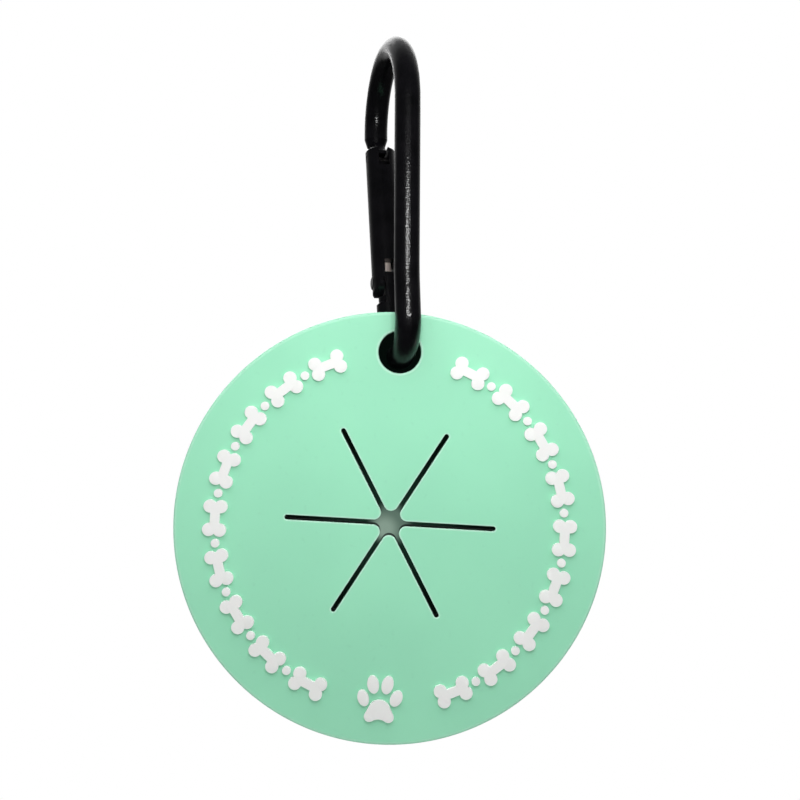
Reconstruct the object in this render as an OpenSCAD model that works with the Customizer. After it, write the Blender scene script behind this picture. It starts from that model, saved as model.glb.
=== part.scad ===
// Round soft grip disc for a knotted pet waste bag, hung on a small sprung carabiner.
// The front of the disc faces -Y, +Z is up. The origin is on the inside of the
// carabiner's top loop, where a lead ring or a belt loop bears.

/* [Disc] */
// Outside diameter of the disc
disc_d = 76; // [60:1:100]
// Thickness of the disc
disc_t = 2.8; // [2:0.1:3.2]
// Chamfer on the rim and on the hanging hole
disc_edge = 0.3; // [0.1:0.05:0.5]
// Diameter of the hanging hole
hole_d = 7.4; // [7.2:0.1:9]
// Distance from the rim in to the hanging hole's centre
hole_in = 7; // [6:0.5:9]
// How far the disc leans, seen from the front
disc_lean = 3.3; // [0:0.1:5]

/* [Bag grip] */
// Length of each slit across the star
slit_l = 37; // [30:1:44]
// Width of each slit
slit_w = 0.8; // [0.6:0.05:1.2]
// Rounding of the petal tips
petal_tip_r = 1.3; // [0.8:0.1:1.6]
// Height of the star's centre over the disc's centre
star_up = 1; // [0:0.1:2]

/* [Raised marks] */
// Height of the white marks over the face
mark_h = 0.6; // [0.3:0.1:0.8]
// Distance from the rim in to the middle of the ring of marks
ring_in = 7.4; // [7:0.1:9]
// Bones in each of the two arcs
bones_per_arc = 9; // [5:1:9]
// Angle from the hole to the first bone of an arc
arc_start_angle = 24; // [22:1:34]
// Angle from the hole to the last bone of an arc
arc_end_angle = 155.4; // [140:0.2:156]
// Length of a bone
bone_l = 6.4; // [5:0.1:6.8]
// Height of a bone across its knobs
bone_h = 4.2; // [3.4:0.1:4.4]
// Diameter of the dots between the bones
dot_d = 1.5; // [1:0.1:1.7]
// Width of the paw print's heel pad
paw_w = 5.4; // [4:0.1:6]

/* [Carabiner] */
// Diameter of the carabiner's rod
rod_d = 4.5; // [4:0.1:4.5]
// Radius of the wide top loop, at the rod's centre
loop_r = 11.7; // [11:0.1:13]
// Height of the top loop's centre over the hanging hole
loop_z = 43.9; // [41:0.1:48]
// Radius of the small bottom eye, at the rod's centre
eye_r = 6.35; // [6.3:0.05:7]
// How far the spine leans in towards the gate on its way down
spine_lean = 1.2; // [0.5:0.1:2]
// How far the spine turns out again under its waist
waist_flare = 6.5; // [5:0.5:9]
// Outward lean of the gate and of the hinge end
gate_lean = 12.4; // [11:0.1:13]
// Turn of the carabiner about the vertical, seen from above
carabiner_yaw = 15; // [8:1:18]

/* [Gate] */
// Diameter of the gate
gate_d = 5.7; // [5:0.1:5.8]
// Length of the gate over its pivot
gate_l = 26.6; // [26.1:0.1:26.9]
// Thickness of the hinge tongue and of the nose hook
tongue_t = 1.7; // [1.4:0.1:1.9]
// Room beside the tongue, on each side
tongue_gap = 0.15; // [0.1:0.05:0.25]
// Diameter of the hinge rivet
rivet_d = 1.5; // [1.2:0.1:1.8]
// Diameter of the latch pin
latch_d = 1.2; // [1:0.1:1.4]
// Diameter of the spring plunger
plunger_d = 1.8; // [1.5:0.1:1.8]
// Wire of the gate spring
wire_d = 0.35; // [0.25:0.05:0.4]
// Turns of the gate spring
spring_turns = 9; // [6:1:12]

/* [Hidden] */
$fn = 64;
eps = 0.01;
seam = 0.3;
rod_r = rod_d / 2;
gate_r = gate_d / 2;

// Carabiner layout. u runs in its plane from the spine to the gate, z is the
// height over the hanging hole, and the hole is at u = 0.
loop_u = 7.6;
eye_u = loop_u - loop_r + eye_r - 0.3;
eye_z = eye_r - 0.75;
plane_shift = 0.3;
nose_end_z = loop_z - 2.7;
nose_taper = 1.5;
nose_r = 1.75;

// Spine line, from the loop to the waist
spine_u = loop_u - loop_r * cos(spine_lean);
spine_z = loop_z - loop_r * sin(spine_lean);
// Start of the eye
flare_u = eye_u - eye_r * cos(waist_flare);
flare_z = eye_z + eye_r * sin(waist_flare);
// The waist is where the two lines cross
waist_z = (spine_u - flare_u + spine_z * tan(spine_lean) + flare_z * tan(waist_flare))
    / (tan(spine_lean) + tan(waist_flare));
waist_u = spine_u + (spine_z - waist_z) * tan(spine_lean);
// A bend at the waist, tangent to both lines
waist_bend_r = 14;
waist_turn = spine_lean + waist_flare;
waist_tan = waist_bend_r * tan(waist_turn / 2);

// Hinge end, a line that the closed gate continues
end_u = eye_u + eye_r * cos(gate_lean);
end_z = eye_z - eye_r * sin(gate_lean);
// The nose's end over it, across and along the gate. The gate's length then
// sets how far up the hinge end its pivot stands.
nose_du = loop_u + loop_r - end_u;
nose_dz = nose_end_z - end_z;
nose_x = nose_du * cos(gate_lean) - nose_dz * sin(gate_lean);
nose_reach = nose_du * sin(gate_lean) + nose_dz * cos(gate_lean);
nose_gap = 2.2952;
nose_s = gate_l + nose_gap;
pivot_s = nose_reach - nose_s;
pivot_out = 0.6;
ear_r = 2.8;
ear_edge = 0.6;
shoulder_s = pivot_s - ear_r - 0.25;
neck_l = 1.0;
neck_step = 0.45;
tongue_top = 1.4;
slot_w = tongue_t + 2 * tongue_gap;
slot_top = 3.65;
spot_n = gate_r - 0.2;
rivet_gap = 0.05;
head_d = rivet_d + 1.1;
head_h = 0.25;
latch_b = gate_l - 1.8;
hook_gap = 0.25;
hook_bottom = gate_l - 3.7;
bore_d = plunger_d + 0.1;
bore_l = 14;
plunger_gap = 0.05;
plunger_l = 7.2;
plunger_b = tongue_top + plunger_gap;
spring_b0 = plunger_b + plunger_l + 0.02;
spring_b1 = slot_top + bore_l - 0.02;
spring_r = plunger_d / 2 - wire_d / 2 - 0.05;
spring_steps = 16 * spring_turns;

// Places in the part's frame
crown_z = loop_z + loop_r - rod_r;
face_z = disc_t / 2;
hole_up = disc_d / 2 - hole_in;
ring_r = disc_d / 2 - ring_in;
paw_r = ring_r - 0.4;

// ---------- frames ----------

module in_carabiner() {
    rotate([0, 0, 90 + carabiner_yaw])
        translate([-loop_u, 0, -crown_z])
            children();
}

module in_disc() {
    translate([loop_u * sin(carabiner_yaw) - plane_shift, -loop_u * cos(carabiner_yaw), -crown_z])
        rotate([0, disc_lean, 0])
            translate([0, 0, -hole_up])
                rotate([90, 0, 0])
                    children();
}

// Along the hinge end and the closed gate: z runs up the gate from the pivot's
// level, x points outward and is 0 on the gate's axis
module in_gate() {
    in_carabiner()
        translate([end_u, 0, end_z])
            rotate([0, gate_lean, 0])
                translate([0, 0, pivot_s])
                    children();
}

// A cylinder across the carabiner's plane
module across(r, h) {
    rotate([90, 0, 0])
        cylinder(r = r, h = h, center = true);
}

// ---------- carabiner frame ----------

// A straight length of rod between two points of the plane. It runs a little way
// into the bends at its ends, so that they fuse.
module rod_line(u0, z0, u1, z1) {
    len = sqrt(pow(u1 - u0, 2) + pow(z1 - z0, 2));
    translate([u0, 0, z0])
        rotate([0, atan2(u1 - u0, z1 - z0), 0])
            translate([0, 0, -seam])
                cylinder(r = rod_r - eps, h = len + 2 * seam);
}

// A bend of rod about a point of the plane, from angle a0 to angle a1
module rod_bend(u, z, r, a0, a1) {
    translate([u, 0, z])
        rotate([90, 0, 0])
            rotate([0, 0, a0])
                rotate_extrude(angle = a1 - a0)
                    translate([r, 0])
                        circle(r = rod_r);
}

module frame_rod() {
    // Nose, with its taper
    translate([loop_u + loop_r, 0, nose_end_z]) {
        cylinder(r1 = nose_r, r2 = rod_r, h = nose_taper);
        translate([0, 0, nose_taper])
            cylinder(r = rod_r, h = loop_z - nose_end_z - nose_taper);
    }
    // Wide top loop
    rod_bend(loop_u, loop_z, loop_r, 0, 180 + spine_lean);
    // Spine and waist
    rod_line(
        spine_u, spine_z,
        waist_u - waist_tan * sin(spine_lean), waist_z + waist_tan * cos(spine_lean)
    );
    rod_bend(
        waist_u - waist_tan * sin(spine_lean) - waist_bend_r * cos(spine_lean),
        waist_z + waist_tan * cos(spine_lean) - waist_bend_r * sin(spine_lean),
        waist_bend_r, -waist_flare, spine_lean
    );
    rod_line(
        flare_u, flare_z,
        waist_u - waist_tan * sin(waist_flare), waist_z - waist_tan * cos(waist_flare)
    );
    // Small bottom eye
    rod_bend(eye_u, eye_z, eye_r, 180 - waist_flare, 360 - gate_lean);
}

// The rod is necked down on its way to the flat tongue
module hinge_end() {
    neck_s = shoulder_s - neck_l;
    difference() {
        union() {
            translate([0, 0, -seam])
                cylinder(r = rod_r - eps, h = seam + neck_s - neck_step);
            translate([0, 0, neck_s - neck_step - eps])
                cylinder(r1 = rod_r - eps, r2 = rod_r - neck_step, h = neck_step + eps);
            translate([0, 0, neck_s - eps])
                cylinder(r = rod_r - neck_step, h = neck_l + eps);
            intersection() {
                cylinder(r = rod_r - eps, h = pivot_s + tongue_top);
                translate([-rod_d, -tongue_t / 2, 0])
                    cube([2 * rod_d, tongue_t, pivot_s + rod_d]);
            }
        }
        translate([pivot_out, 0, pivot_s])
            across(rivet_d / 2 + rivet_gap, rod_d);
    }
}

// The flat hook under the nose, that the latch pin sits in
module nose_hook() {
    difference() {
        rotate([90, 0, 0])
            linear_extrude(height = tongue_t, center = true)
                polygon([
                    [-1.3, hook_bottom],
                    [2.4, hook_bottom],
                    [nose_x + 1.28, nose_s - 1.41],
                    [nose_x + 1.48, nose_s + 1.59],
                    [nose_x - 1.32, nose_s + 2.19],
                    [nose_x - 1.72, nose_s + 0.39],
                    [-1.3, gate_l - 0.3]
                ]);
        translate([0, 0, latch_b])
            across(latch_d / 2 + hook_gap, rod_d);
        translate([-3, -rod_r, latch_b - latch_d / 2 - hook_gap])
            cube([3, rod_d, latch_d + 2 * hook_gap]);
    }
}

module carabiner_frame() {
    color([0.05, 0.05, 0.06]) {
        in_carabiner() {
            frame_rod();
            translate([end_u, 0, end_z])
                rotate([0, gate_lean, 0])
                    hinge_end();
        }
        in_gate()
            nose_hook();
    }
}

// ---------- gate ----------

module gate_blank() {
    intersection() {
        translate([0, 0, -ear_r - 1])
            union() {
                cylinder(r = gate_r, h = ear_r + 1 + gate_l - 0.35);
                translate([0, 0, ear_r + 1 + gate_l - 0.35])
                    cylinder(r1 = gate_r, r2 = gate_r - 0.35, h = 0.35);
            }
        union() {
            translate([-gate_d, -gate_d, 0])
                cube([2 * gate_d, 2 * gate_d, gate_l + 1]);
            translate([pivot_out, 0, 0])
                rotate([90, 0, 0])
                    rotate_extrude()
                        polygon([
                            [0, -gate_r],
                            [ear_r - ear_edge, -gate_r],
                            [ear_r, -gate_r + ear_edge],
                            [ear_r, gate_r - ear_edge],
                            [ear_r - ear_edge, gate_r],
                            [0, gate_r]
                        ]);
        }
    }
}

module gate() {
    color([0.05, 0.05, 0.06])
        in_gate()
            difference() {
                gate_blank();
                // Slot for the hinge tongue, and the spring's bore over it
                translate([-gate_d, -slot_w / 2, -gate_d])
                    cube([2 * gate_d, slot_w, gate_d + slot_top]);
                translate([0, 0, slot_top - eps])
                    cylinder(d = bore_d, h = bore_l + eps);
                // Slot for the nose hook
                translate([-gate_d, -slot_w / 2, hook_bottom - 0.3])
                    cube([2 * gate_d, slot_w, gate_l]);
                // Rivet hole with a flat seat for each head
                translate([pivot_out, 0, 0])
                    across(rivet_d / 2, 2 * gate_d);
                for (side = [-1, 1])
                    translate([pivot_out, side * (spot_n + gate_r / 2), 0])
                        across(head_d / 2 + 0.15, gate_r);
                // Latch pin hole
                translate([0, 0, latch_b])
                    across(latch_d / 2, 2 * gate_d);
            }
}

module hinge_rivet() {
    color([0.12, 0.12, 0.13])
        in_gate()
            translate([pivot_out, 0, 0])
                rotate([90, 0, 0])
                    rotate_extrude()
                        polygon([
                            [0, -spot_n - head_h],
                            [head_d / 2 - 0.35, -spot_n - head_h],
                            [head_d / 2, -spot_n - 0.1],
                            [head_d / 2, -spot_n],
                            [rivet_d / 2, -spot_n],
                            [rivet_d / 2, spot_n],
                            [head_d / 2, spot_n],
                            [head_d / 2, spot_n + 0.1],
                            [head_d / 2 - 0.35, spot_n + head_h],
                            [0, spot_n + head_h]
                        ]);
}

module latch_pin() {
    color([0.6, 0.6, 0.62])
        in_gate()
            translate([0, 0, latch_b])
                across(latch_d / 2, 2 * sqrt(pow(gate_r, 2) - pow(latch_d / 2, 2)) - 0.1);
}

module spring_plunger() {
    color([0.75, 0.72, 0.68])
        in_gate()
            translate([0, 0, plunger_b])
                cylinder(d = plunger_d, h = plunger_l);
}

// A round wire wound at a steady pitch, as rings of points along the coil
function coil_ring(i) =
    let (
        t = i / spring_steps,
        a = 360 * spring_turns * t,
        z = spring_b0 + wire_d / 2 + (spring_b1 - spring_b0 - wire_d) * t
    )
    [for (j = [0:7])
        let (r = spring_r + wire_d / 2 * cos(45 * j))
        [r * cos(a), r * sin(a), z + wire_d / 2 * sin(45 * j)]];

module gate_spring() {
    last = 8 * spring_steps;
    color([0.7, 0.7, 0.72])
        in_gate()
            polyhedron(
                points = [for (i = [0:spring_steps]) each coil_ring(i)],
                faces = concat(
                    [[7, 6, 5, 4, 3, 2, 1, 0]],
                    [for (i = [0:spring_steps - 1]) for (j = [0:7])
                        [8 * i + j, 8 * i + (j + 1) % 8, 8 * i + 8 + (j + 1) % 8, 8 * i + 8 + j]],
                    [[for (j = [0:7]) last + j]]
                )
            );
}

// ---------- disc ----------

// Outline of the star: petals with round tips, between slits with round ends
function arc_points(c, r, a0, a1, n) =
    [for (i = [0:n]) c + r * [cos(a0 + (a1 - a0) * i / n), sin(a0 + (a1 - a0) * i / n)]];
function turned(p, a) =
    [p[0] * cos(a) - p[1] * sin(a), p[0] * sin(a) + p[1] * cos(a)];
tip_c = 2 * (petal_tip_r + slit_w / 2);
star_points = [
    for (k = [0:5])
        for (p = concat(
            arc_points([slit_l / 2 - slit_w / 2, 0], slit_w / 2, -90, 90, 8),
            arc_points(turned([tip_c, 0], 30), petal_tip_r, 270, 150, 10)
        ))
            turned(p, 60 * k)
];

module disc_blank() {
    r = disc_d / 2;
    e = disc_edge;
    rotate_extrude()
        polygon([
            [0, -face_z], [r - e, -face_z], [r, -face_z + e],
            [r, face_z - e], [r - e, face_z], [0, face_z]
        ]);
}

module hanging_hole() {
    cylinder(d = hole_d, h = 3 * disc_t, center = true);
    for (side = [0, 1])
        mirror([0, 0, side])
            translate([0, 0, face_z - disc_edge])
                cylinder(r1 = hole_d / 2, r2 = hole_d / 2 + 2 * disc_edge, h = 2 * disc_edge);
}

module bag_disc() {
    color([0.62, 0.91, 0.77])
        in_disc()
            difference() {
                disc_blank();
                translate([0, hole_up, 0])
                    hanging_hole();
                translate([0, star_up, -disc_t])
                    linear_extrude(height = 2 * disc_t)
                        polygon(star_points);
            }
}

// ---------- raised marks ----------

// Puts a mark on the front face, at an angle from the hole, clockwise
module on_face(a, r) {
    in_disc()
        translate([0, 0, face_z])
            rotate([0, 0, -a])
                translate([0, r, 0])
                    children();
}

module bone() {
    knob_r = bone_h / 4 + 0.1;
    x = bone_l / 2 - knob_r;
    y = bone_h / 2 - knob_r;
    for (sx = [-1, 1])
        for (sy = [-1, 1])
            translate([sx * x, sy * y, 0])
                cylinder(r = knob_r, h = mark_h);
    translate([-x, -bone_h / 5, 0])
        cube([2 * x, bone_h / 2.5, mark_h]);
}

bone_step = (arc_end_angle - arc_start_angle) / (bones_per_arc - 1);

module bone_at(i, side) {
    color([0.98, 0.99, 0.97])
        on_face(side * (arc_start_angle + bone_step * (i - 1)), ring_r)
            bone();
}

module dots(side) {
    color([0.98, 0.99, 0.97])
        for (i = [1:bones_per_arc - 1])
            on_face(side * (arc_start_angle + bone_step * (i - 0.5)), ring_r)
                cylinder(d = dot_d, h = mark_h);
}

// The paw print stands opposite the hole. Its pads are shares of its heel pad's
// width, so that they keep their places.
module on_paw() {
    color([0.98, 0.99, 0.97])
        on_face(180, paw_r)
            rotate([0, 0, 180])
                linear_extrude(height = mark_h)
                    children();
}

module paw_toe(x, y, w, h, tilt) {
    on_paw()
        translate([x * paw_w, y * paw_w])
            rotate([0, 0, tilt])
                polygon([for (t = [0:10:350]) paw_w / 2 * [w * cos(t), h * sin(t)]]);
}

module paw_heel_pad() {
    w = paw_w / 2;
    dome_r = 0.74 * w;
    lobe_r = 0.34 * w;
    lobe_x = 0.63 * w;
    on_paw()
        polygon(concat(
            arc_points([0, -lobe_x], dome_r, 160, 20, 10),
            arc_points([lobe_x, -w], lobe_r, 20, -115, 8),
            arc_points([0, -w - 1.2 * dome_r], dome_r, 54, 126, 8),
            arc_points([-lobe_x, -w], lobe_r, -65, -200, 8)
        ));
}

module paw_toe_1() {
    paw_toe(-0.54, 0.09, 0.363, 0.537, 20);
}

module paw_toe_2() {
    paw_toe(-0.242, 0.54, 0.38, 0.583, 12);
}

module paw_toe_3() {
    paw_toe(0.224, 0.545, 0.38, 0.59, -12);
}

module paw_toe_4() {
    paw_toe(0.53, 0.124, 0.38, 0.537, -25);
}

bag_disc();
carabiner_frame();
gate();
hinge_rivet();
latch_pin();
spring_plunger();
gate_spring();
paw_heel_pad();
paw_toe_1();
paw_toe_2();
paw_toe_3();
paw_toe_4();
for (i = [1:bones_per_arc]) {
    bone_at(i, 1);
    bone_at(i, -1);
}
dots(1);  // dots_right
dots(-1);  // dots_left
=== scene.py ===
import math

import bpy
from mathutils import Matrix, Vector
from mathutils.geometry import delaunay_2d_cdt


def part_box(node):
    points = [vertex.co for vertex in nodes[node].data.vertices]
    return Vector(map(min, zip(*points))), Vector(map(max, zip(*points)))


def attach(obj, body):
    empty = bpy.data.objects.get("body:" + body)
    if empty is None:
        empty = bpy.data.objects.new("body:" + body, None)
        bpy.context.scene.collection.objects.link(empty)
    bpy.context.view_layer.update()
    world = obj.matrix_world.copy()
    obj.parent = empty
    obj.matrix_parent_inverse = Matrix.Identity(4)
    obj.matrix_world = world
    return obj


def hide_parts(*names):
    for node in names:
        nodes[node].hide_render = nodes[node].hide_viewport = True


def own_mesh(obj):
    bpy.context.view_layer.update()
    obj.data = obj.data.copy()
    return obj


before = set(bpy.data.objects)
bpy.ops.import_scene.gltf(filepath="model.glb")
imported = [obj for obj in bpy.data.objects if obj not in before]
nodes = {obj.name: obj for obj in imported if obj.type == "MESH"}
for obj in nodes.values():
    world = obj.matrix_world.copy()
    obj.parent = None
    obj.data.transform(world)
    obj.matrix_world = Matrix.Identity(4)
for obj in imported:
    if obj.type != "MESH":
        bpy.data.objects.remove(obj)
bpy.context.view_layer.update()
MM = 0.001

# ---------- camera ----------

camera_data = bpy.data.cameras.new("camera")
camera_data.sensor_width = 36.0
camera_data.lens = 41.5
camera_data.clip_start = 0.005
camera_data.clip_end = 20.0
camera = bpy.data.objects.new("camera", camera_data)
camera.location = (0.0017, -0.1703, -0.06175)
camera.rotation_euler = (math.radians(90), 0, 0)
bpy.context.scene.collection.objects.link(camera)
bpy.context.scene.camera = camera
bpy.context.scene.view_settings.view_transform = "Standard"


# ---------- node helpers ----------

def new_material(name):
    mat = bpy.data.materials.new(name)
    mat.use_nodes = True
    tree = mat.node_tree
    tree.nodes.clear()
    return mat, tree


def add(tree, kind, **values):
    """A node, with its properties by name."""
    node = tree.nodes.new(kind)
    for key, value in values.items():
        setattr(node, key, value)
    return node


def noise(tree, coords, scale, detail=3.0, rough=0.5, stretch=None):
    """Noise in object space, stretched where asked."""
    node = add(tree, "ShaderNodeTexNoise")
    node.inputs["Scale"].default_value = scale
    node.inputs["Detail"].default_value = detail
    node.inputs["Roughness"].default_value = rough
    if stretch:
        mapping = add(tree, "ShaderNodeMapping")
        mapping.inputs["Scale"].default_value = stretch
        tree.links.new(coords, mapping.inputs["Vector"])
        coords = mapping.outputs["Vector"]
    tree.links.new(coords, node.inputs["Vector"])
    return node.outputs["Fac"]


def remap(tree, value, lo, hi, out_lo=0.0, out_hi=1.0, ease="LINEAR"):
    node = add(tree, "ShaderNodeMapRange", interpolation_type=ease)
    node.inputs["From Min"].default_value = lo
    node.inputs["From Max"].default_value = hi
    node.inputs["To Min"].default_value = out_lo
    node.inputs["To Max"].default_value = out_hi
    tree.links.new(value, node.inputs["Value"])
    return node.outputs["Result"]


def math_of(tree, operation, a, b):
    node = add(tree, "ShaderNodeMath", operation=operation)
    tree.links.new(a, node.inputs[0])
    tree.links.new(b, node.inputs[1])
    return node.outputs[0]


def mix_color(tree, factor, a, b):
    """Colour a where factor is 0, b where it is 1. Each is a tuple or a node's output."""
    node = add(tree, "ShaderNodeMix", data_type="RGBA")
    tree.links.new(factor, node.inputs["Factor"])
    # Sockets 6 and 7 are the colour inputs, and 2 is the colour output
    for socket, value in ((6, a), (7, b)):
        if isinstance(value, tuple):
            node.inputs[socket].default_value = value
        else:
            tree.links.new(value, node.inputs[socket])
    return node.outputs[2]


def bump(tree, height, strength, distance, normal=None):
    node = add(tree, "ShaderNodeBump")
    node.inputs["Strength"].default_value = strength
    node.inputs["Distance"].default_value = distance
    tree.links.new(height, node.inputs["Height"])
    if normal is not None:
        tree.links.new(normal, node.inputs["Normal"])
    return node.outputs["Normal"]


def emission(tree):
    """White light, unless its colour is linked afterwards."""
    node = add(tree, "ShaderNodeEmission")
    node.inputs["Color"].default_value = (1, 1, 1, 1)
    return node


def clear_where(tree, factor, shader):
    """The shader where factor is 0, nothing where it is 1."""
    clear = add(tree, "ShaderNodeBsdfTransparent")
    both = add(tree, "ShaderNodeMixShader")
    tree.links.new(factor, both.inputs["Fac"])
    tree.links.new(shader.outputs[0], both.inputs[1])
    tree.links.new(clear.outputs[0], both.inputs[2])
    return both


def finish_material(tree, shader):
    out = add(tree, "ShaderNodeOutputMaterial")
    tree.links.new(shader.outputs[0], out.inputs["Surface"])


def rgb(r, g, b):
    """A screen colour, 0 to 255, as the linear colour that nodes take."""
    def lin(v):
        v /= 255
        return v / 12.92 if v <= 0.04045 else ((v + 0.055) / 1.055) ** 2.4
    return (lin(r), lin(g), lin(b), 1.0)


# ---------- materials ----------

def soft_pvc(name, pale, deep, lip, dark, rough):
    """Moulded PVC: slow colour drift, fine grain, a painted highlight on its edges and painted
    shade in its cuts.

    Edges and cuts are the mesh's own "edge" and "cut" values, and a mesh without them has neither.
    """
    mat, tree = new_material(name)
    link = tree.links.new
    coords = add(tree, "ShaderNodeTexCoord").outputs["Object"]
    # Noise scales are in cycles per metre
    drift = noise(tree, coords, 45, 2.0)
    fine = noise(tree, coords, 2600, 2.0, 0.6)
    speck = noise(tree, coords, 900, 1.0, 0.5)
    base = mix_color(tree, remap(tree, drift, 0.35, 0.65), deep, pale)
    base = mix_color(tree, remap(tree, speck, 0.66, 0.8, 0.0, 0.03), base, dark)
    edge = add(tree, "ShaderNodeAttribute", attribute_name="edge").outputs["Fac"]
    cut = add(tree, "ShaderNodeAttribute", attribute_name="cut").outputs["Fac"]
    # A painted highlight on the edges' lips, then painted shade in the cuts, in the dark colour
    # that also colours the specks
    base = mix_color(tree, remap(tree, edge, 0.0, 1.0, 0.0, 0.8), base, lip)
    base = mix_color(tree, cut, base, dark)
    shader = add(tree, "ShaderNodeBsdfPrincipled")
    link(base, shader.inputs["Base Color"])
    link(remap(tree, speck, 0.3, 0.7, rough - 0.05, rough + 0.07), shader.inputs["Roughness"])
    shader.inputs["Specular IOR Level"].default_value = 0.35
    shader.inputs["Subsurface Weight"].default_value = 0.08
    shader.inputs["Subsurface Radius"].default_value = (1.0, 1.6, 1.2)
    shader.inputs["Subsurface Scale"].default_value = 0.0006
    normal = bump(tree, fine, 0.12, 0.00003)
    normal = bump(tree, drift, 0.15, 0.0004, normal)
    link(normal, shader.inputs["Normal"])
    finish_material(tree, shader)
    return mat


def anodised(name, base, tint, rough, grain):
    """Dyed aluminium: nearly black, with a soft sheen under a skin that breaks up highlights."""
    mat, tree = new_material(name)
    link = tree.links.new
    coords = add(tree, "ShaderNodeTexCoord").outputs["Object"]
    skin = add(tree, "ShaderNodeTexVoronoi")
    skin.inputs["Scale"].default_value = 3300
    link(coords, skin.inputs["Vector"])
    blotch = noise(tree, coords, 260, 3.0, 0.6)
    colour = mix_color(tree, remap(tree, blotch, 0.35, 0.7), base, tint)
    shader = add(tree, "ShaderNodeBsdfPrincipled")
    link(colour, shader.inputs["Base Color"])
    link(remap(tree, blotch, 0.3, 0.7, rough - 0.04, rough + 0.07), shader.inputs["Roughness"])
    shader.inputs["Specular IOR Level"].default_value = 0.12
    shader.inputs["Coat Weight"].default_value = 0.45
    shader.inputs["Coat Roughness"].default_value = 0.07
    shader.inputs["Coat IOR"].default_value = 1.5
    normal = bump(tree, skin.outputs["Distance"], grain, 0.00004)
    normal = bump(tree, blotch, 0.2, 0.00012, normal)
    link(normal, shader.inputs["Normal"])
    link(normal, shader.inputs["Coat Normal"])
    finish_material(tree, shader)
    return mat


def drawn_steel(name, pale, deep, rough, metallic):
    """Turned or drawn steel, with fine lines along its length."""
    mat, tree = new_material(name)
    link = tree.links.new
    coords = add(tree, "ShaderNodeTexCoord").outputs["Object"]
    lines = noise(tree, coords, 2200, 2.0, 0.5, (1.0, 1.0, 0.06))
    stain = noise(tree, coords, 500, 2.0)
    colour = mix_color(tree, remap(tree, lines, 0.35, 0.65), deep, pale)
    shader = add(tree, "ShaderNodeBsdfPrincipled")
    link(colour, shader.inputs["Base Color"])
    shader.inputs["Metallic"].default_value = metallic
    link(remap(tree, stain, 0.3, 0.7, rough - 0.08, rough + 0.08), shader.inputs["Roughness"])
    link(bump(tree, lines, 0.3, 0.00003), shader.inputs["Normal"])
    finish_material(tree, shader)
    return mat


# The third colour is the painted highlight on the lips, and the fourth colours the specks and the
# painted shade in the cuts
MINT = soft_pvc(
    "mint_pvc", rgb(165, 241, 203), rgb(161, 236, 199), rgb(212, 252, 232), rgb(9, 26, 19), 0.5
)
WHITE = soft_pvc(
    "white_pvc", rgb(253, 254, 252), rgb(250, 252, 249), rgb(255, 255, 255), rgb(190, 205, 196), 0.5
)
BLACK = anodised("black_anodised", rgb(5, 5, 7), rgb(12, 11, 15), 0.34, 0.6)
RIVET = anodised("rivet_black", rgb(10, 10, 12), rgb(22, 21, 24), 0.34, 0.25)
STEEL = drawn_steel("bare_steel", rgb(248, 236, 228), rgb(200, 184, 174), 0.5, 0.1)
DARK_STEEL = drawn_steel("dark_steel", rgb(52, 50, 50), rgb(34, 33, 33), 0.35, 0.6)

# ---------- the disc ----------

# The same sizes as the CAD source, in millimetres
DISC_R = 38.0
FACE_Z = 1.4
HOLE_R = 3.7
HOLE_UP = 31.0
STAR_UP = 1.0
SLIT_L = 37.0
SLIT_W = 0.8
TIP_R = 1.3
LEAN = math.radians(3.3)
HOLE_AT = Vector((1.6670247, -7.3410363, -53.35))
IN_DISC = (
    Matrix.Translation(HOLE_AT * MM)
    @ Matrix.Rotation(LEAN, 4, "Y")
    @ Matrix.Translation((0, 0, -HOLE_UP * MM))
    @ Matrix.Rotation(math.radians(90), 4, "X")
)
HOLE_MIDDLE = Vector((0, HOLE_UP))

# The skin's own sizes: how round its edges are, and the strip beside them that joins the flat face
RIM_ROUND = 0.45
HOLE_ROUND = 0.3
SLIT_ROUND = 0.14
STRIP = 0.22
ROUND_STEPS = 5
RIM_POINTS = 256
HOLE_POINTS = 96
# Rings down the straight wall, as parts of 2.45
WALL_STOPS = (0.25, 0.6, 1.0, 1.4, 1.8, 2.2)
WALL_SPAN = 2.45
# A triangle with its middle nearer to the opening than this is in the opening
HOLE_CLEAR = 0.515
STAR_CLEAR = 0.36
# Grid of points in the flat faces: its pitch, its rows' pitch as a part of that, and how far it
# keeps from the rim, the hole, the star's outline and the slits' middle lines
GRID = 2.0
GRID_ROW = 0.87
RIM_KEEP = 1.6
HOLE_KEEP = 1.4
STAR_KEEP = 0.9
SLIT_KEEP = 1.0


def arc(cx, cy, r, a0, a1, n):
    steps = [math.radians(a0 + (a1 - a0) * i / n) for i in range(n + 1)]
    return [(cx + r * math.cos(a), cy + r * math.sin(a)) for a in steps]


def circle_loop(cx, cy, r, n):
    return arc(cx, cy, r, 0, 360 - 360 / n, n - 1)


def star_loop(grow):
    """The star's outline, moved into the petals by grow."""
    half = SLIT_W / 2
    tip_c = 2 * (TIP_R + half)
    c30, s30 = math.cos(math.radians(30)), math.sin(math.radians(30))
    tooth = arc(SLIT_L / 2 - half, 0, half + grow, -90, 90, 12)
    tooth += arc(tip_c * c30, tip_c * s30, TIP_R - grow, 270, 150, 14)
    loop = []
    for k in range(6):
        c, s = math.cos(math.radians(60 * k)), math.sin(math.radians(60 * k))
        loop += [(x * c - y * s, x * s + y * c + STAR_UP) for x, y in tooth]
    return loop


def near_slit(p, room):
    """True where p is within room of a slit."""
    q = p - Vector((0, STAR_UP))
    for k in range(6):
        d = Vector((math.cos(math.radians(60 * k)), math.sin(math.radians(60 * k))))
        along = q.dot(d)
        if -1 < along < SLIT_L / 2 + room and abs(q.x * d.y - q.y * d.x) < SLIT_W / 2 + room:
            return True
    return False


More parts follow.
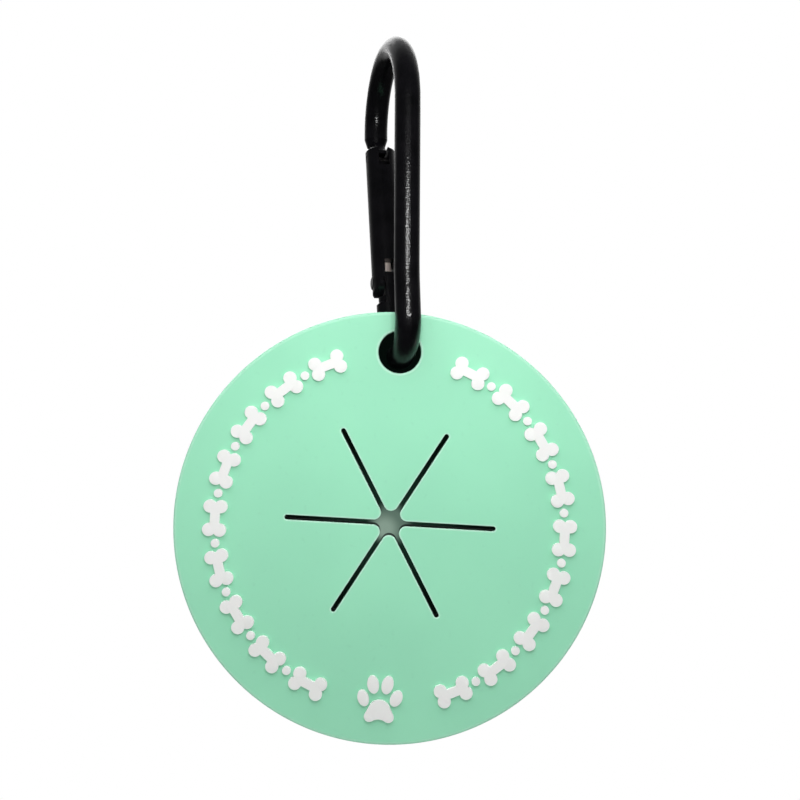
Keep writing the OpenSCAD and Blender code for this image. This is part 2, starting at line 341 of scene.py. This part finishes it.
def in_star(p):
    """True inside the star's opening."""
    inside = False
    pts = star_loop(STAR_CLEAR)
    for (x1, y1), (x2, y2) in zip(pts, pts[1:] + pts[:1]):
        if (y1 > p.y) != (y2 > p.y) and p.x < (x2 - x1) * (p.y - y1) / (y2 - y1) + x1:
            inside = not inside
    return inside


def grid_points():
    """Points that keep the flat faces in even triangles."""
    points = []
    count = int(DISC_R / GRID) + 1
    outline = [Vector(p) for p in star_loop(STAR_KEEP)]
    for gx in range(-count, count + 1):
        for gy in range(-count, count + 1):
            p = Vector((gx * GRID + (gy % 2) * GRID / 2, gy * GRID * GRID_ROW))
            if p.length > DISC_R - RIM_KEEP or (p - HOLE_MIDDLE).length < HOLE_R + HOLE_KEEP:
                continue
            if min((p - q).length for q in outline) < STAR_KEEP or near_slit(p, SLIT_KEEP):
                continue
            points.append(p)
    return points


def lip_rings(r, n):
    """Steps round an edge of radius r: (how far in from the wall, how far down from the face)."""
    turn = [math.radians(90 * i / n) for i in range(n + 1)]
    return [(r - r * math.sin(t), r - r * math.cos(t)) for t in turn]


def disc_mesh():
    """The disc, its rim, hole and slits rounded, as rings of points with flat faces between."""
    verts, faces, edge, cut = [], [], [], []

    def ring(points, z, e, d):
        start = len(verts)
        verts.extend((x, y, z) for x, y in points)
        edge.extend([e] * len(points))
        cut.extend([d] * len(points))
        return list(range(start, len(verts)))

    def bridge(a, b, flip):
        n = len(a)
        for i in range(n):
            j = (i + 1) % n
            quad = (a[i], a[j], b[j], b[i])
            faces.append(tuple(reversed(quad)) if flip else quad)

    def wall(loop_at, r, flip, painted_lip_highlight, painted_wall_shade):
        """Rings from the front face round the edge, down the wall and round to the back.

        loop_at gives the outline moved into the material, shine is how pale the front lip is,
        and deepen how dark the wall is.
        """
        # The pale lips are a painted highlight and the darker rings down the wall painted shade
        rings = [ring(loop_at(r + STRIP), FACE_Z, 0.0, 0.0)]
        steps = lip_rings(r, ROUND_STEPS)
        for k, (inset, down) in enumerate(steps):
            pale, dark = painted_lip_highlight * (1 - k / 8), painted_wall_shade * max(0, k - 2) / 3
            rings.append(ring(loop_at(inset), FACE_Z - down, pale, dark))
        for t in WALL_STOPS:
            z = FACE_Z - r - (2 * FACE_Z - 2 * r) * t / WALL_SPAN
            rings.append(ring(loop_at(0), z, 0.0, painted_wall_shade))
        for k, (inset, down) in enumerate(reversed(steps)):
            pale, dark = 0.3 * painted_lip_highlight * k / 5, painted_wall_shade * (1 - 0.2 * k)
            rings.append(ring(loop_at(inset), -FACE_Z + down, pale, dark))
        rings.append(ring(loop_at(r + STRIP), -FACE_Z, 0.0, 0.0))
        for a, b in zip(rings, rings[1:]):
            bridge(a, b, flip)
        return rings[0], rings[-1]

    def rim_loop(g):
        return circle_loop(0, 0, DISC_R - g, RIM_POINTS)

    def hole_loop(g):
        return circle_loop(0, HOLE_UP, HOLE_R + g, HOLE_POINTS)

    # The rim gets a painted highlight on its lips, and the hole and the slits get one too, with
    # painted shade down their walls
    rim = wall(rim_loop, RIM_ROUND, True, 0.35, 0.0)
    hole = wall(hole_loop, HOLE_ROUND, False, 0.8, 1.0)
    star = wall(star_loop, SLIT_ROUND, False, 0.9, 1.0)

    extra = grid_points()
    for side, front in ((0, True), (1, False)):
        loops = [rim[side], hole[side], star[side]]
        ids = [i for loop in loops for i in loop]
        flat = [Vector(verts[i][:2]) for i in ids]
        border, at = [], 0
        for loop in loops:
            n = len(loop)
            border += [(at + i, at + (i + 1) % n) for i in range(n)]
            at += n
        coords, _, tris, from_verts, _, _ = delaunay_2d_cdt(flat + extra, border, [], 1, 1e-7)
        known = {}
        for new, olds in enumerate(from_verts):
            old = olds[0] if olds else None
            if old is not None and old < len(ids):
                known[new] = ids[old]
            else:
                z = FACE_Z if front else -FACE_Z
                known[new] = ring([tuple(coords[new])], z, 0.0, 0.0)[0]
        for tri in tris:
            c = sum((coords[i] for i in tri), Vector((0, 0))) / 3
            if (c - HOLE_MIDDLE).length < HOLE_R + HOLE_CLEAR or in_star(c):
                continue
            face = tuple(known[i] for i in tri)
            faces.append(face if front else tuple(reversed(face)))
    mesh = bpy.data.meshes.new("disc_skin")
    mesh.from_pydata(verts, [], faces)
    for name, values in (("edge", edge), ("cut", cut)):
        layer = mesh.attributes.new(name, "FLOAT", "POINT")
        layer.data.foreach_set("value", values)
    mesh.transform(Matrix.Scale(MM, 4))
    mesh.transform(IN_DISC)
    mesh.validate()
    return mesh


def new_piece(name, mesh, mat):
    """A smooth-faced object of the scene's own."""
    obj = bpy.data.objects.new(name, mesh)
    bpy.context.scene.collection.objects.link(obj)
    mesh.materials.append(mat)
    for poly in mesh.polygons:
        poly.use_smooth = True
    return obj


def even_normals(obj):
    """Large flat faces keep their own shading beside small rounded ones."""
    mod = obj.modifiers.new("even_normals", "WEIGHTED_NORMAL")
    mod.mode = "FACE_AREA"
    mod.weight = 80
    mod.keep_sharp = False


disc = new_piece("disc_skin", disc_mesh(), MINT)
even_normals(disc)
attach(disc, "disc")
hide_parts("bag_disc")

# ---------- the gate's spring ----------

# The way up the gate's bore
BORE = Vector((-0.0555775923, 0.2074183973, 0.9766722783))
# In millimetres. OVER_PLUNGER is from the plunger's middle to the coil's
COIL_L = 8.9
COIL_R = 0.66
WIRE_R = 0.175
OVER_PLUNGER = 8.1
TURNS = 9
STEPS_PER_TURN = 20
WIRE_SIDES = 10


def coil_mesh():
    """A round wire wound at a steady pitch round the bore's line, and the coil's middle."""
    low, high = (Vector(v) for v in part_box("spring_plunger"))
    middle = (low + high) / 2 + BORE * OVER_PLUNGER * MM
    side = BORE.cross(Vector((1, 0, 0))).normalized()
    front = side.cross(BORE)
    steps, sides = TURNS * STEPS_PER_TURN, WIRE_SIDES
    run = COIL_L - 2 * WIRE_R
    verts, faces = [], []
    for i in range(steps + 1):
        turn = 2 * math.pi * TURNS * i / steps
        out = side * math.cos(turn) + front * math.sin(turn)
        for j in range(sides):
            a = 2 * math.pi * j / sides
            along = (i / steps - 0.5) * run + WIRE_R * math.sin(a)
            verts.append(middle + (out * (COIL_R + WIRE_R * math.cos(a)) + BORE * along) * MM)
    for i in range(steps):
        for j in range(sides):
            a, b = i * sides + j, i * sides + (j + 1) % sides
            faces.append((a, b, b + sides, a + sides))
    faces.append(tuple(reversed(range(sides))))
    faces.append(tuple(range(steps * sides, (steps + 1) * sides)))
    mesh = bpy.data.meshes.new("spring_coil")
    mesh.from_pydata(verts, [], faces)
    mesh.validate()
    return mesh, middle


coil, coil_middle = coil_mesh()
spring = new_piece("spring_coil", coil, STEEL)
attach(spring, "gate")
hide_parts("gate_spring")
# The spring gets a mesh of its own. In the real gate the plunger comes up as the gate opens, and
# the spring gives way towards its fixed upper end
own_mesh(spring)

# ---------- CAD nodes that stay ----------

LOOKS = {
    "carabiner_frame": BLACK,
    "gate": BLACK,
    "hinge_rivet": RIVET,
    "latch_pin": DARK_STEEL,
    "spring_plunger": STEEL,
}


def dress(node, mat):
    obj = nodes[node]
    obj.data.materials.clear()
    obj.data.materials.append(mat)


for node, mat in LOOKS.items():
    dress(node, mat)

MARK_ROUND = 0.12
WELD_WITHIN = 0.005

marks = [n for n in nodes if n.startswith(("bone_", "dots_", "paw_"))]
for node in marks:
    obj = nodes[node]
    dress(node, WHITE)
    # A bevel needs the shared corners as single points
    weld = obj.modifiers.new("weld", "WELD")
    weld.merge_threshold = WELD_WITHIN * MM
    soft = obj.modifiers.new("soft_edge", "BEVEL")
    soft.width = MARK_ROUND * MM
    soft.segments = 3
    soft.limit_method = "ANGLE"
    soft.angle_limit = math.radians(50)
    even_normals(obj)

# ---------- stage ----------

FLOOR_Z = -0.28
FLOOR_HALF = 3
WALL_Y = 0.12
WALL_HALF = 2
WALL_TOP = 2
# What the floor adds to its own light where the camera sees it
FLOOR_GLOW = 0.45

# A sheet of painted shade 0.06 mm behind the disc's back face, so that its openings look dark from
# the front
SHADE_Y = (HOLE_AT.y + FACE_Z + 0.06) * MM
# From the hanging hole to its sides, its lower edge and its upper edge, in millimetres
SHADE_HALF, SHADE_DOWN, SHADE_UP = 37, 51, 4.5
# Points of the sheet as (x, z), with the disc at rest
BEHIND_HOLE = (HOLE_AT.x * MM, HOLE_AT.z * MM)
BEHIND_STAR = (-0.00011, -0.08387)
BRIGHT_SPOT = (-0.00105, -0.08467)
# Ambient occlusion on the sheet: its reach, then the values between which the rim gives it painted
# shade in the disc's colour, and the values between which it is gone
COVER_REACH = 0.006
RIM_PAINTED_SHADE = (0.24, 0.34)
UNCOVERED = (0.4, 0.46)
# The sheet never goes within this of the hanging hole and the star's middle
KEPT_WITHIN = (0.0042, 0.0043)


def plane(name, corners):
    mesh = bpy.data.meshes.new(name)
    mesh.from_pydata(corners, [], [(0, 1, 2, 3)])
    obj = bpy.data.objects.new(name, mesh)
    bpy.context.scene.collection.objects.link(obj)
    return obj


def upright(x0, x1, y, z0, z1):
    """Corners of a rectangle that faces the camera."""
    return [(x0, y, z0), (x1, y, z0), (x1, y, z1), (x0, y, z1)]


def seen_directly(tree):
    """1 for what the camera, a mirror or glass sees, 0 for what lights the object."""
    path = add(tree, "ShaderNodeLightPath")
    total = path.outputs["Is Camera Ray"]
    for name in ("Is Glossy Ray", "Is Transmission Ray"):
        total = math_of(tree, "MAXIMUM", total, path.outputs[name])
    return total


def floor_material():
    """Nearly white, and dim in mirrors."""
    mat, tree = new_material("floor_pale")
    link = tree.links.new
    coords = add(tree, "ShaderNodeTexCoord").outputs["Object"]
    tone = remap(tree, noise(tree, coords, 6, 2.0), 0.3, 0.7)
    path = add(tree, "ShaderNodeLightPath")
    colour = mix_color(tree, tone, rgb(244, 244, 243), rgb(248, 248, 247))
    colour = mix_color(tree, path.outputs["Is Glossy Ray"], colour, rgb(70, 70, 70))
    diffuse = add(tree, "ShaderNodeBsdfDiffuse")
    link(colour, diffuse.inputs["Color"])
    glow = emission(tree)
    lift = remap(tree, path.outputs["Is Camera Ray"], 0.0, 1.0, 0.0, FLOOR_GLOW)
    link(lift, glow.inputs["Strength"])
    both = add(tree, "ShaderNodeAddShader")
    link(diffuse.outputs[0], both.inputs[0])
    link(glow.outputs[0], both.inputs[1])
    finish_material(tree, both)
    return mat


def wall_material():
    """Plain white, seen from the front only."""
    mat, tree = new_material("backdrop_white")
    behind = add(tree, "ShaderNodeNewGeometry").outputs["Backfacing"]
    finish_material(tree, clear_where(tree, behind, emission(tree)))
    return mat


def shade_material():
    """Painted shade behind the disc: there only where the disc covers it, and clear from the back.

    Its dark spots stay where they are when the disc swings.
    """
    mat, tree = new_material("shade_behind_disc")
    link = tree.links.new
    geometry = add(tree, "ShaderNodeNewGeometry")

    def from_point(point, lo, hi):
        """0 within lo of a point of the sheet, 1 beyond hi."""
        gap = add(tree, "ShaderNodeVectorMath", operation="DISTANCE")
        link(geometry.outputs["Position"], gap.inputs[0])
        gap.inputs[1].default_value = (point[0], SHADE_Y, point[1])
        return remap(tree, gap.outputs["Value"], lo, hi, ease="SMOOTHSTEP")

    cover = add(tree, "ShaderNodeAmbientOcclusion")
    cover.samples = 32
    cover.inputs["Distance"].default_value = COVER_REACH

    def bare(lo, hi):
        """1 where the disc leaves the sheet bare, but 0 behind its hole and its star's middle."""
        result = remap(tree, cover.outputs["AO"], lo, hi, ease="SMOOTHSTEP")
        for point in (BEHIND_HOLE, BEHIND_STAR):
            result = math_of(tree, "MULTIPLY", result, from_point(point, *KEPT_WITHIN))
        return result

    # Lighter behind the star's middle, where most light comes through
    spot = from_point(BRIGHT_SPOT, 0.0007, 0.0032)
    shade = mix_color(tree, spot, rgb(132, 154, 140), rgb(92, 114, 102))
    shade = mix_color(tree, from_point(BEHIND_STAR, 0.0021, 0.0045), shade, rgb(20, 38, 30))
    shade = mix_color(tree, from_point(BEHIND_STAR, 0.0053, 0.016), shade, rgb(5, 11, 8))
    # The disc's own colour, shaded, under its rim
    shade = mix_color(tree, bare(*RIM_PAINTED_SHADE), shade, rgb(120, 180, 150))
    dark = emission(tree)
    link(shade, dark.inputs["Color"])
    gone = math_of(tree, "MAXIMUM", bare(*UNCOVERED), geometry.outputs["Backfacing"])
    finish_material(tree, clear_where(tree, gone, dark))
    return mat


def stage_only(obj, glossy):
    """The camera sees it, mirrors where glossy is True, and it lights and shadows nothing."""
    obj.visible_diffuse = False
    obj.visible_glossy = glossy
    obj.visible_shadow = False
    obj.visible_volume_scatter = False


far = FLOOR_HALF
corners = [(-far, -far, FLOOR_Z), (far, -far, FLOOR_Z), (far, far, FLOOR_Z), (-far, far, FLOOR_Z)]
floor = plane("floor", corners)
floor.data.materials.append(floor_material())

backdrop = plane("backdrop", upright(-WALL_HALF, WALL_HALF, WALL_Y, FLOOR_Z, WALL_TOP))
backdrop.data.materials.append(wall_material())
stage_only(backdrop, glossy=False)

# The sheet reaches as far as the slits do when the disc swings
left, right = (HOLE_AT.x - SHADE_HALF) * MM, (HOLE_AT.x + SHADE_HALF) * MM
low, high = (HOLE_AT.z - SHADE_DOWN) * MM, (HOLE_AT.z + SHADE_UP) * MM
sheet = plane("shade", upright(left, right, SHADE_Y, low, high))
sheet.data.materials.append(shade_material())
stage_only(sheet, glossy=True)

# ---------- light ----------

# The world's strength: for light on the object, and in mirrors from its dim sides to its bright one
WORLD_LIGHT = 0.42
MIRROR_DIM = 0.05
MIRROR_BRIGHT = 0.56
# The way to the bright side, and the cosines to it between which the level rises
BRIGHT_SIDE = (0.0, 0.8, 0.6)
BRIGHT_FROM, BRIGHT_TO = 0.35, 0.9


def studio_seen(tree):
    """White where the camera looks. Mirrors see a studio bright up and back, dim elsewhere."""
    coords = add(tree, "ShaderNodeTexCoord").outputs["Generated"]
    split = add(tree, "ShaderNodeVectorMath", operation="DOT_PRODUCT")
    tree.links.new(coords, split.inputs[0])
    split.inputs[1].default_value = BRIGHT_SIDE
    facing = split.outputs["Value"]
    mirrored = remap(tree, facing, BRIGHT_FROM, BRIGHT_TO, MIRROR_DIM, MIRROR_BRIGHT, "SMOOTHSTEP")
    to_camera = add(tree, "ShaderNodeLightPath").outputs["Is Camera Ray"]
    return math_of(tree, "MAXIMUM", to_camera, mirrored)


world = bpy.data.worlds.new("studio")
bpy.context.scene.world = world
world.use_nodes = True
tree = world.node_tree
tree.nodes.clear()
sky = add(tree, "ShaderNodeBackground")
sky.inputs["Color"].default_value = (1, 1, 1, 1)
level = add(tree, "ShaderNodeMapRange")
tree.links.new(seen_directly(tree), level.inputs["Value"])
level.inputs["To Min"].default_value = WORLD_LIGHT
tree.links.new(studio_seen(tree), level.inputs["To Max"])
tree.links.new(level.outputs["Result"], sky.inputs["Strength"])
world_out = add(tree, "ShaderNodeOutputWorld")
tree.links.new(sky.outputs[0], world_out.inputs["Surface"])


def softbox(name, at, aim, size, power):
    """A rectangular lamp: its place, what it points at, its width and height, and its watts."""
    data = bpy.data.lights.new(name, "AREA")
    data.shape = "RECTANGLE"
    data.size, data.size_y = size
    data.energy = power
    lamp = bpy.data.objects.new(name, data)
    lamp.location = at
    lamp.rotation_euler = (Vector(aim) - Vector(at)).to_track_quat("-Z", "Y").to_euler()
    bpy.context.scene.collection.objects.link(lamp)
    return lamp


# The wide light on the disc, kept out of the metal's mirrors
key = softbox("key", (0.0, -0.09, 0.12), (0, -0.01, -0.07), (0.34, 0.16), 0.28)
key.visible_glossy = False
# The short highlight on the rod
softbox("front", (0.010, -0.11, -0.0206), (0.005, -0.01, -0.0456), (0.04, 0.012), 0.051)
# The back of the object
softbox("back", (0.0, 0.5, 0.35), (0, 0, -0.06), (0.6, 0.4), 1.5)
